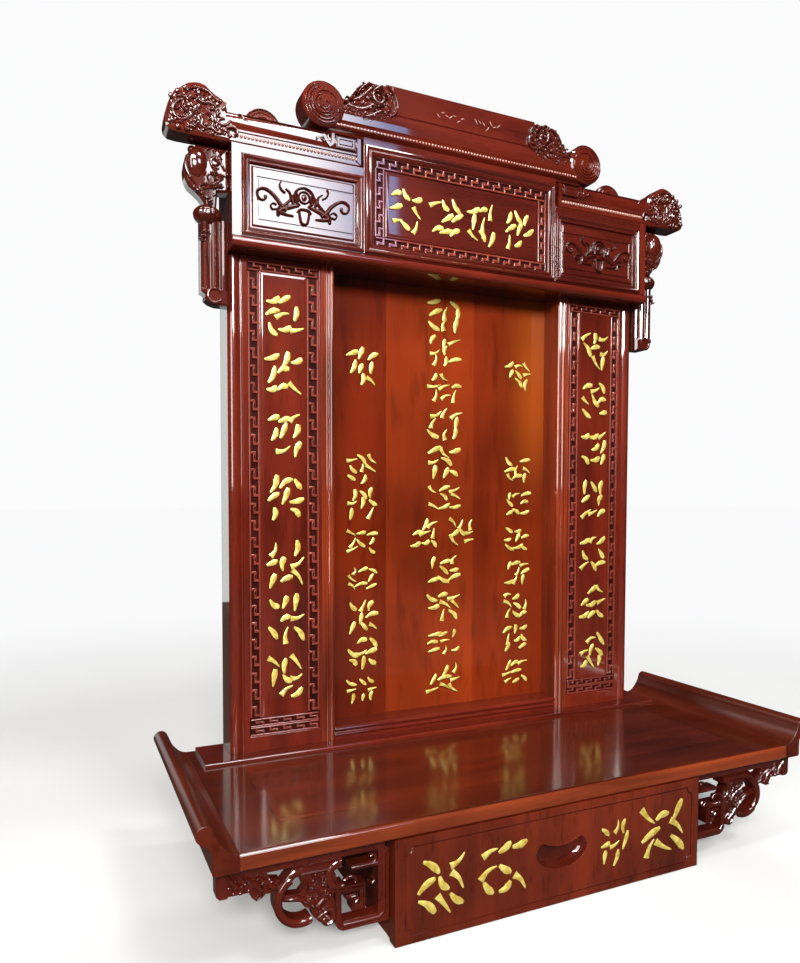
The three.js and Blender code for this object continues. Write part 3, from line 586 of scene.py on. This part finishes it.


# The fret bars are lacquered a paler red than the boards: painted light standing for the glints on their
# polished edges.
fret_painted_light = lacquer("fret_painted_light", (40, 40, 40), (0.07, 0.011, 0.007), (0.17, 0.03, 0.019))
# Near black, uncoated lacquer for plates laid over the sunk floors behind the fret: painted shade in the
# recesses.
fret_shadow = lacquer(
    "fret_shadow", (20, 20, 20), (0.009, 0.0016, 0.0012), (0.028, 0.0045, 0.003), coat=0.0
)
FRET_FLOOR, FRET_FRONT = 117, 113.1
SIDE_Z, LEVEL_X = (194, 803), (219, 317)
couplet_fret = bmesh.new()
for across in ((219, 233.5), (303.5, 316.5)):
    fret(couplet_fret, SIDE_Z, across, True, FRET_FLOOR, FRET_FRONT, 23, 3.3)
for across in ((169, 179), (181.5, 190.5), (806, 816)):
    fret(couplet_fret, LEVEL_X, across, False, FRET_FLOOR, FRET_FRONT, 20, 2.5)
fit(mirrored(couplet_fret), "couplet_fretwork", fret_painted_light, edge=0.6)
# A dark plate over the sunk floor behind the couplet fret: painted shade.
couplet_ground_shade = bmesh.new()
run_outline(couplet_ground_shade, corners(216.8, 167, 319.8, 818.5), "xz", 116.6, 116.3)
fit(mirrored(couplet_ground_shade), "couplet_ground_shades", fret_shadow)
dress("couplet_boards", upright_lacquer, "couplet_panel_right", "couplet_panel_left", edge=0.4)
COUPLET_X, COUPLET_Y = 268, 112.4
left_heights = (750, 670, 588, 497, 405, 329, 245)
right_heights = (746, 662, 582, 495, 405, 321, 238)
couplet_marks, couplet_mark_shadows = bmesh.new(), bmesh.new()
chance = random.Random(11)
for x, heights in ((-COUPLET_X, left_heights), (COUPLET_X, right_heights)):
    for z in heights:
        brush_mark(couplet_marks, couplet_mark_shadows, x, z, 54, 64, COUPLET_Y, 0.9, chance)
fit(couplet_marks, "couplet_marks", gilt, smooth=ROUND)
# The dark runs under the marks are painted shadow.
fit(couplet_mark_shadows, "couplet_mark_painted_shadows", cut_shadow)


# The middle panel: three wide figured planks glued edge to edge, slid in behind the
# stiles, with three columns of smaller gilded marks.
figured = lacquer("figured_panel", (9, 9, 1.4), (0.025, 0.0025, 0.001), (0.17, 0.02, 0.003), shift=9.0)
figure_tree = figured.node_tree
figure_at = object_axes(figure_tree)
planks_across = remap(figure_tree, figure_at["X"], -0.2, 0.2)
plank_ramp = wire(figure_tree, "ShaderNodeValToRGB", {0: planks_across})
plank_tone = plank_ramp.color_ramp
plank_tone.interpolation = "CONSTANT"
plank_tone.elements[0].color = (0.6, 0.5, 0.56, 1)
plank_tone.elements[1].position = 0.2575
plank_tone.elements[1].color = (1, 1, 1, 1)
plank_tone.elements.new(0.6425).color = (0.78, 0.72, 0.75, 1)
# A bright orange patch over the upper part of the right plank: painted sheen standing for light caught in
# the figure.
PAINTED_SHEEN = (0.17, 0.03, 0.003, 1)
sheen_across = remap(figure_tree, figure_at["X"], 0.1, 0.175, interpolation_type="SMOOTHSTEP")
sheen_height = remap(figure_tree, figure_at["Z"], 0.46, 0.66, interpolation_type="SMOOTHSTEP")
painted_sheen_spot = reckon(figure_tree, "MULTIPLY", sheen_across, sheen_height)
figure_wood = figure_tree.nodes["Group"].outputs["Color"]
toned = blend(figure_tree, 1.0, figure_wood, plank_ramp.outputs[0], "MULTIPLY")
figure_tree.links.new(
    blend(figure_tree, painted_sheen_spot, toned, PAINTED_SHEEN), figure_tree.nodes["Principled BSDF"].inputs["Base Color"]
)
PANEL_FRONT, PANEL_BACK = 153, 157.9
PANEL_Z = (146.5, 824)
PLANK_SEAM = 0.15
planks = bmesh.new()
for x0, x1 in ((-194, -97), (-97, 57), (57, 194)):
    run_outline(planks, corners(x0 + PLANK_SEAM, PANEL_FRONT, x1 - PLANK_SEAM, PANEL_BACK), "xy", *PANEL_Z)
fit(planks, "middle_planks", figured, "centre_panel", slot="figured_wood")
PANEL_MARK_Y = PANEL_FRONT - 0.1
panel_marks, panel_mark_shadows = bmesh.new(), bmesh.new()
chance = random.Random(23)
left_rows = (
    (665, 722), (520, 563), (467, 512), (413, 450), (358, 393), (293, 340), (236, 287), (187, 225),
)
right_rows = (
    (680, 723), (523, 567), (468, 509), (410, 452), (352, 395), (295, 343), (240, 287), (185, 227),
)
middle_rows = (
    (760, 813), (707, 751), (650, 695), (590, 640), (530, 581), (478, 520),
    (360, 405), (300, 350), (249, 287), (185, 230),
)
for x, wide, rows in ((-136, 50, left_rows), (142, 50, right_rows), (5, 60, middle_rows)):
    for z0, z1 in rows:
        brush_mark(panel_marks, panel_mark_shadows, x, (z0 + z1) / 2, wide, z1 - z0, PANEL_MARK_Y, 0.8, chance)
for x in (-29, 37):
    brush_mark(panel_marks, panel_mark_shadows, x, 442, 48, 46, PANEL_MARK_Y, 0.8, chance)
fit(panel_marks, "panel_marks", gilt, smooth=ROUND)
# The dark runs under the marks are painted shadow.
fit(panel_mark_shadows, "panel_mark_painted_shadows", cut_shadow)


# The header's soffit: one red wood board with a round nosed front edge, lying on the
# stiles and standing out in front of them, which carries the whole header.
dress("soffit_board", level_lacquer, "header_soffit")


# The header: a raised middle panel and a lower one on each side, each in a mitred beaded
# frame. The side fields carry a carved scroll inside a cut line, the middle one a sunk
# border of fretwork and four gilded marks.
header_lacquer = lacquer(
    "header_lacquer", (4, 40, 40), (0.015, 0.0016, 0.0012), (0.062, 0.0066, 0.0032), shift=6.0
)
dress("header_side_boards", header_lacquer, "header_panel_right", "header_panel_left", edge=0.4)
dress("header_middle_board", header_lacquer, "header_panel_centre", edge=0.4)

RELIEF_Y, RUN_Y, BUD_RISE = 83, 83.2, 2.6
DATUM_Z, DRAWN_SCALE = 500.7, 0.988


def drawn_height(z):
    """A height on the full-size drawing, brought to the header's own scale."""
    return DATUM_Z + (z - DATUM_Z) * DRAWN_SCALE


header_scroll = bmesh.new()
half_runs = (
    ([(-8, 893), (-22, 889), (-34, 883), (-28, 879), (-15, 878)], (4, 8, 8, 5, 3)),
    (
        [(-24, 884), (-32, 890), (-38, 898), (-48, 906), (-57, 908), (-64, 903), (-62, 895),
         (-56, 893), (-52, 897)],
        (7, 6, 5, 4, 3.4, 3.4),
    ),
    ([(-38, 889), (-42, 891), (-46, 888), (-44, 883), (-39, 884)], (2.4, 2.4)),
    ([(-34, 888), (-37, 883), (-36, 877)], (3, 4.5)),
    ([(-32, 921), (-34, 916), (-31, 910), (-26, 907)], (2, 3, 3)),
    ([(-26, 913), (-20, 908), (-19, 900), (-24, 894), (-28, 890)], (2, 4, 4, 5)),
    ([(-12, 908), (-17, 902), (-15, 894)], (3, 5, 4)),
    ([(-10, 895), (-9, 902), (-11, 910)], (3, 4, 3)),
    ([(0, 918), (-8, 915), (-13, 908), (-12, 899), (-6, 893)], (3, 4, 4, 4)),
    ([(-7, 886), (-6, 878), (-4, 871), (0, 869)], (3, 4, 4, 3)),
    ([(0, 889), (-6, 888), (-10, 884)], (4, 4, 2)),
)
for middle in (-248, 248):
    for run, widths in half_runs:
        for turn in (-1, 1):
            spots = [(middle + turn * x, drawn_height(z)) for x, z in run]
            carved_run(header_scroll, flow(spots, 5), widths, RUN_Y, 3.6)
    head_ring = arc(middle, drawn_height(905), 7.5, 0, 360, 24)
    carved_run(header_scroll, head_ring, (3, 3), RELIEF_Y, 2.8)
    for turn in (-1, 1):
        dome(header_scroll, middle + turn * 53, RELIEF_Y, drawn_height(898), 2.6, BUD_RISE, 2.6)
        dome(header_scroll, middle + turn * 36, RELIEF_Y, drawn_height(877), 2.8, BUD_RISE, 2.8)
    dome(header_scroll, middle, RELIEF_Y, drawn_height(905), 4, BUD_RISE, 5)
scroll_lacquer = lacquer(
    "scroll_lacquer", (20, 20, 20), (0.01, 0.0012, 0.001), (0.045, 0.005, 0.003), coat=0.4
)
fit(header_scroll, "header_scroll", scroll_lacquer, smooth=ROUND)
HEADER_FLOOR, HEADER_FRONT = 87, 83.1
header_fret = bmesh.new()
for across in ((849, 863.5), (960, 974.5)):
    fret(header_fret, (-143, 143), across, False, HEADER_FLOOR, HEADER_FRONT, 19.5, 2.9)
for across in ((-143.5, -131.5), (131.5, 143.5)):
    fret(header_fret, (865, 959), across, True, HEADER_FLOOR, HEADER_FRONT, 18.5, 2.7)
fit(header_fret, "header_fretwork", fret_painted_light, edge=0.5)
# A dark plate over the sunk floor behind the header fret: painted shade.
header_ground_shade = bmesh.new()
run_outline(header_ground_shade, corners(-145.5, 847, 145.5, 976.5), "xz", 86.1, 85.8)
fit(header_ground_shade, "header_ground_shade", fret_shadow)
header_marks, header_mark_shadows = bmesh.new(), bmesh.new()
chance = random.Random(31)
for x in (-96, -31, 30, 94):
    brush_mark(header_marks, header_mark_shadows, x, 908, 51, 60, RELIEF_Y - 0.1, 0.9, chance)
fit(header_marks, "header_marks", gilt, smooth=ROUND)
# The dark runs under the marks are painted shadow.
fit(header_mark_shadows, "header_mark_painted_shadows", cut_shadow)


# The side ridges: moulded rails over the side panels, each ending outside in a block
# carved as rolled cloud and leaf, glued down on the header's top.
CLOUD_Y, CLOUD_RISE = 80.2, 2.0
ridge_cut = bmesh.new()
chance = random.Random(8)
ridge_end = [
    (346, 959), (411, 958), (419, 960), (423, 964), (424, 970), (423, 978), (420, 988), (417, 996),
    (412, 1003), (405, 1008), (397, 1013), (388, 1016), (378, 1015), (366, 1007), (355, 1002),
    (352, 990), (346, 975),
]
foliage(ridge_cut, ridge_end, CLOUD_Y + 0.7, CLOUD_RISE, 9, chance)
for run, widths in (
    (
        [(400, 994), (408, 993), (415, 988), (418, 981), (416, 973), (409, 969), (402, 972),
         (400, 979), (405, 983)],
        (2, 4, 4, 3, 2),
    ),
    ([(358, 1000), (366, 1003), (375, 1010), (388, 1012), (399, 1008)], (2, 4, 4, 2)),
    ([(365, 992), (372, 997), (381, 995), (388, 999), (396, 998)], (2, 4, 3, 2)),
    ([(346, 980), (352, 974), (360, 973), (366, 978), (365, 985), (359, 987)], (3, 5, 4, 2)),
    ([(376, 962), (383, 967), (382, 975), (388, 980), (387, 988)], (2, 4, 3, 2)),
    ([(356, 962), (364, 962), (370, 967), (369, 974), (375, 979)], (2, 4, 3, 2)),
    ([(390, 962), (397, 964), (401, 961)], (2, 4, 2)),
    ([(352, 970), (345, 973), (339, 971), (338, 965), (343, 963)], (4, 5, 3, 2)),
):
    carved_run(ridge_cut, flow(run, 4), widths, CLOUD_Y, CLOUD_RISE)
large_buds = (
    (420, 996), (412, 1003), (403, 1009), (386, 1006), (372, 1003), (363, 997), (398, 989),
    (386, 990), (422, 965), (412, 960),
)
small_buds = ((365, 984), (377, 969), (384, 979), (391, 971), (358, 967), (369, 960), (355, 994))
for x, z in large_buds:
    dome(ridge_cut, x, CLOUD_Y + 0.2, z, 3.4, 2.2, 3.4, 10)
for x, z in small_buds:
    dome(ridge_cut, x, CLOUD_Y, z, 2.4, 2.0, 2.4, 8)
# Beads and the page strokes are lacquered a pale pinkish red: painted highlight standing for the glints on
# them.
bead_painted_highlight = lacquer("bead_painted_highlight", (40, 40, 40), (0.2, 0.09, 0.07), (0.34, 0.17, 0.14), dull=0.16)
BEAD_STEP = 5
ridge_beads = bmesh.new()
for i in range(34):
    dome(ridge_beads, 172 + BEAD_STEP * i, 83.6, 965, 2.1, 2.4, 2.4, 8)
fit(mirrored(ridge_beads), "ridge_beads", bead_painted_highlight, smooth=ROUND)
top_curl = flow([(336, 991), (331, 990), (328, 985), (323, 985)], 4)
inner_curl = flow([(208, 991), (215, 989), (214, 982), (221, 980), (226, 984), (231, 980)], 4)
carved_run(ridge_cut, [(206, 991.5), (320, 991.5), (336, 991)], (1.6, 1.6), 82.5, 1.0, 6)
carved_run(ridge_cut, top_curl, (1.6, 3, 2), 81.6, 1.4)
carved_run(ridge_cut, inner_curl, (2, 3.4, 2.4), 80.6, 1.8)
fit(mirrored(ridge_cut), "ridge_carving", carved_lacquer, smooth=ROUND)
KEY_X, KEY_Z = (176, 202), (975.5, 989.5)
ridge_key = bmesh.new()
for cut in (0, 3.6):
    ring = corners(KEY_X[0] + cut, KEY_Z[0] + cut, KEY_X[1] - cut, KEY_Z[1] - cut)
    carved_run(ridge_key, [*ring, ring[0]], (1.5, 1.5), 79.5, 0.9, 6)
fit(mirrored(ridge_key), "ridge_key", carved_lacquer, smooth=ROUND)
ridge_board = copied("ridge_right", "ridge_left")
for vert in ridge_board.verts:
    if abs(vert.co.x) > 0.34 and vert.co.y < 0.0806:
        vert.co.y = 0.0814
fit(ridge_board, "ridge_rails", level_lacquer, "ridge_right", "ridge_left", edge=1.0)


# The medallions: round red wood discs turned with sunk rings, cut off flat at the foot and
# glued on the header's top behind the ridges.
dress("medallion_discs", level_lacquer, "medallion_right", "medallion_left", edge=0.7)
medallion_rings = bmesh.new()
for radius in (23, 18.5, 14, 9.5):
    carved_run(medallion_rings, arc(295, 998, radius, -5, 185, 28), (2.4, 2.4), 117, 1.5, 6)
fit(mirrored(medallion_rings), "medallion_rings", carved_lacquer, smooth=ROUND)


# The middle ridge: a board carved as an unrolled scroll, a roll at each end, cloud and
# leaf beside the page, and a fine beaded line along its foot.
CURL_Y, CURL_RISE = 82.6, 2.6
page_curl = bmesh.new()
chance = random.Random(14)
curl_runs = (
    ([(126, 1073), (117, 1066), (112, 1056), (111, 1047), (114, 1039), (121, 1032)], (2, 3.5, 3.5, 3, 2)),
    (
        [(133, 1072), (142, 1068), (147, 1060), (145, 1051), (137, 1048), (131, 1054), (135, 1060)],
        (3, 5, 5, 3),
    ),
    ([(150, 1066), (158, 1058), (166, 1050), (178, 1044)], (4, 6, 3)),
    ([(148, 1044), (158, 1037), (170, 1034), (186, 1036)], (4, 6, 3)),
    ([(132, 1040), (142, 1034), (152, 1028), (164, 1024)], (3, 5, 3)),
    ([(150, 1071), (158, 1069), (166, 1062), (172, 1053)], (3, 4, 2)),
)
curl_field = (
    (119, 1036), (119, 1072), (150, 1076), (162, 1073), (172, 1062), (181, 1048), (198, 1044),
    (192, 1025), (165, 1018), (128, 1020),
)
curl_buds = (
    (140, 1057), (156, 1050), (163, 1043), (152, 1038), (169, 1047), (146, 1029), (176, 1040),
    (160, 1030),
)
for side, turns in ((-1, (110, 340)), (1, (70, -160))):
    for run, widths in curl_runs:
        carved_run(page_curl, flow([(side * x, z) for x, z in run], 4), widths, CURL_Y, CURL_RISE)
    field = [(side * x, z) for x, z in curl_field]
    foliage(page_curl, field, CURL_Y + 1, CURL_RISE, 6.5, chance)
    for x, z in curl_buds:
        dome(page_curl, side * x, 82, z, 2.6, 3, 2.6, 8)
    for radius in (25.5, 21, 16.5, 12, 7.5):
        ring = arc(side * 220, 1029.5, radius, *turns, 26)
        carved_run(page_curl, ring, (0.8, 2, 2, 0.8), 79.6, 1.5, 6)
page_beads = bmesh.new()
for i in range(87):
    dome(page_beads, -215 + BEAD_STEP * i, 83.2, 1007, 2.0, 2.4, 2.0, 8)
fit(page_beads, "page_beads", bead_painted_highlight, smooth=ROUND)
fit(page_curl, "scroll_carving", carved_lacquer, smooth=ROUND)
dress("scroll_board", level_lacquer, "ridge_centre", edge=1.0)
page_marks = bmesh.new()
chance = random.Random(41)
for x in (-24, 38):
    for i in range(7):
        px, pz = x + (i / 6 - 0.5) * 40, 1053 + chance.uniform(-5, 5)
        rise, bow = chance.uniform(-4, 4), chance.uniform(-3, 3)
        touch = flow([(px - 2.6, pz - rise), (px + bow / 2, pz), (px + 2.6, pz + rise)], 3)
        carved_run(page_marks, touch, (0.8, 1.7, 0.7), 84.2, 0.6, 6)
# The strokes take the pale bead lacquer: painted highlight.
fit(page_marks, "page_strokes", bead_painted_highlight, smooth=ROUND)


# The hanging posts: a fluted drop under each end of the header, with a ribbed melon at
# its head, a carved block above it, and a curled bud at its foot.
dress("hanging_posts", carved_lacquer, "hanging_post_right", "hanging_post_left", edge=0.8)
POST_Y = 102
post_cut = bmesh.new()
chance = random.Random(17)
post_block = [
    (347, 952), (384, 952), (372, 944), (369, 930), (374, 915), (385, 905), (392, 897), (385, 891),
    (375, 884), (372, 872), (365, 872), (360, 897), (347, 900),
]
foliage(post_cut, post_block, POST_Y, 3.6, 8.5, chance)
foliage(post_cut, corners(371, 830, 385, 847), POST_Y - 1, 2.4, 6, chance)
for run, widths in (
    ([(352, 948), (358, 940), (354, 932), (350, 924)], (3, 5, 3)),
    ([(366, 950), (362, 942), (368, 934), (364, 924), (356, 916)], (3, 5, 4, 3)),
    ([(352, 914), (360, 908), (368, 904), (376, 898)], (3, 5, 3)),
    ([(398, 936), (400, 924), (396, 912), (388, 902)], (3, 5, 3)),
    ([(378, 896), (370, 900), (362, 899)], (3, 5, 2)),
):
    carved_run(post_cut, flow(run, 4), widths, POST_Y, 3)
dome(post_cut, 385, POST_Y + 1, 930, 13, 7, 19, 24)
MELON_AT, MELON_RIBS = (371, 112, 867), 8
melon = bmesh.new()
dome(melon, *MELON_AT, 18.6, 17, 13.4, 64)
for vert in melon.verts:
    out = vert.co - Vector(MELON_AT) * MM
    rib = 0.9 + 0.1 * abs(math.cos(MELON_RIBS * math.atan2(out.y, out.x)))
    vert.co -= Vector((out.x, out.y, 0)) * (1 - rib)
fit(mirrored(melon), "post_melons", carved_lacquer, smooth=ROUND)
carved_run(post_cut, arc(364, 762, 9, 200, 520, 24), (3, 5, 4, 2), POST_Y - 1.5, 2.4)
fit(mirrored(post_cut), "post_carving", carved_lacquer, smooth=ROUND)


# The studio: a pale paper floor under the altar, soft lights before, above and behind it,
# a bright window beyond the camera for the lacquer to mirror, and the camera.
def prop(mesh, name, finish):
    """A piece of the studio, set round the altar."""
    data = bpy.data.meshes.new(name)
    mesh.to_mesh(data)
    mesh.free()
    data.materials.append(finish)
    thing = bpy.data.objects.new(name, data)
    bpy.context.scene.collection.objects.link(thing)
    return thing


def plain(name, **values):
    """A plain finish with its tree and its shader's sockets."""
    made = bpy.data.materials.new(name)
    made.use_nodes = True
    sockets = made.node_tree.nodes["Principled BSDF"].inputs
    for label, value in values.items():
        sockets[label.replace("_", " ")].default_value = value
    return made, made.node_tree, sockets


paper, paper_tree, paper_in = plain(
    "floor_paper", Emission_Strength=1.0, Specular_IOR_Level=0.0, Roughness=0.7
)
paper_place = object_place(paper_tree)
paper_noise = noise(paper_tree, paper_place, Scale=3.0, Detail=2.0)
paper_out = wire(paper_tree, "ShaderNodeVectorMath", {0: paper_place}, operation="LENGTH").outputs["Value"]
paper_fade = remap(paper_tree, paper_out, 0.7, 2.4, interpolation_type="SMOOTHSTEP")
direct = wire(paper_tree, "ShaderNodeLightPath").outputs["Is Camera Ray"]
paper_tone = blend(paper_tree, paper_noise, (0.36, 0.36, 0.355, 1), (0.4, 0.4, 0.395, 1))
paper_tone = blend(paper_tree, paper_fade, paper_tone, (0, 0, 0, 1))
paper_glow = blend(paper_tree, paper_fade, (0.12, 0.12, 0.12, 1), (0.955, 0.955, 0.965, 1))
for unseen, seen, socket in (
    ((0.05, 0.045, 0.04, 1), paper_tone, "Base Color"),
    ((0, 0, 0, 1), paper_glow, "Emission Color"),
):
    paper_tree.links.new(blend(paper_tree, direct, unseen, seen), paper_in[socket])
floor = bmesh.new()
bmesh.ops.create_grid(floor, x_segments=1, y_segments=1, size=30)
prop(floor, "floor", paper)


def softbox(name, place, target, wide, high, power, colour=(1, 1, 1)):
    """A rectangular studio light turned to a point."""
    light = bpy.data.lights.new(name, "AREA")
    light.shape = "RECTANGLE"
    light.size, light.size_y = wide, high
    light.energy = power
    light.color = colour
    lamp = bpy.data.objects.new(name, light)
    lamp.location = place
    lamp.rotation_euler = (Vector(target) - Vector(place)).to_track_quat("-Z", "Y").to_euler()
    bpy.context.scene.collection.objects.link(lamp)
    return lamp


WARM = (1, 0.97, 0.93)
softbox("key", (-1.0, -2.5, 1.6), (0, 0, 0.6), 0.8, 0.6, 185, WARM)
shine = softbox("shine", (-1.5, -2.2, 2.7), (0, 0, 0.6), 1.8, 0.5, 200)
shine.visible_diffuse = False
softbox("left_wall", (-2.6, -2.2, 1.6), (0, 0, 0.5), 0.9, 2.2, 80, WARM)
softbox("ceiling", (0.5, -1.9, 3.1), (0, 0, 0.6), 0.7, 0.5, 60)
softbox("tube", (-0.2, -0.5, 2.9), (-0.1, 0, 0.5), 1.6, 0.14, 29)
behind = softbox("behind", (1.4, 2.6, 1.9), (0, 0.1, 0.6), 1.4, 1.0, 90)
behind.visible_glossy = False
softbox("left_behind", (-1.12, 2.5, 0.82), (-1.12, 0, 0.82), 0.64, 1.6, 5, (0.93, 1, 0.97))
glass, glass_tree, glass_in = plain("window_glass", Base_Color=(0, 0, 0, 1), Emission_Strength=22.0)
glass_across = object_axes(glass_tree)["X"]
glass_fade = remap(glass_tree, glass_across, 0.62, 1.25, interpolation_type="SMOOTHSTEP")
DAYLIGHT, EVENING = (0.88, 0.96, 1, 1), (0.08, 0.19, 0.36, 1)
glass_tree.links.new(blend(glass_tree, glass_fade, DAYLIGHT, EVENING), glass_in["Emission Color"])
window = bmesh.new()
run_outline(window, corners(250, 1820, 1300, 2540), "xz", -3000, -3010)
prop(window, "window", glass).visible_camera = False

world = bpy.data.worlds.new("studio")
bpy.context.scene.world = world
world.use_nodes = True
sky = world.node_tree
rays = wire(sky, "ShaderNodeLightPath").outputs
soft = blend(sky, rays["Is Glossy Ray"], (0.2, 0.2, 0.205, 1), (0.02, 0.02, 0.024, 1))
backdrop = blend(sky, rays["Is Camera Ray"], soft, (0.97, 0.97, 0.98, 1))
sky.links.new(backdrop, sky.nodes["Background"].inputs["Color"])

YAW, PITCH, ROLL = 0.43355, -0.0422, 0.00197
ahead = Vector((math.sin(YAW) * math.cos(PITCH), math.cos(YAW) * math.cos(PITCH), math.sin(PITCH)))
right = Vector((math.cos(YAW), -math.sin(YAW), 0))
up = right.cross(ahead)
right, up = (
    right * math.cos(ROLL) + up * math.sin(ROLL),
    up * math.cos(ROLL) - right * math.sin(ROLL),
)
camera = bpy.data.cameras.new("camera")
camera.lens = 28.03
camera.shift_y = 0.048
view = bpy.data.objects.new("camera", camera)
facing = Matrix((right, up, -ahead)).transposed().to_4x4()
view.matrix_world = Matrix.Translation((-0.5607, -0.9009, 0.5007)) @ facing
bpy.context.scene.collection.objects.link(view)
bpy.context.scene.camera = view
bpy.context.scene.view_settings.view_transform = "Standard"
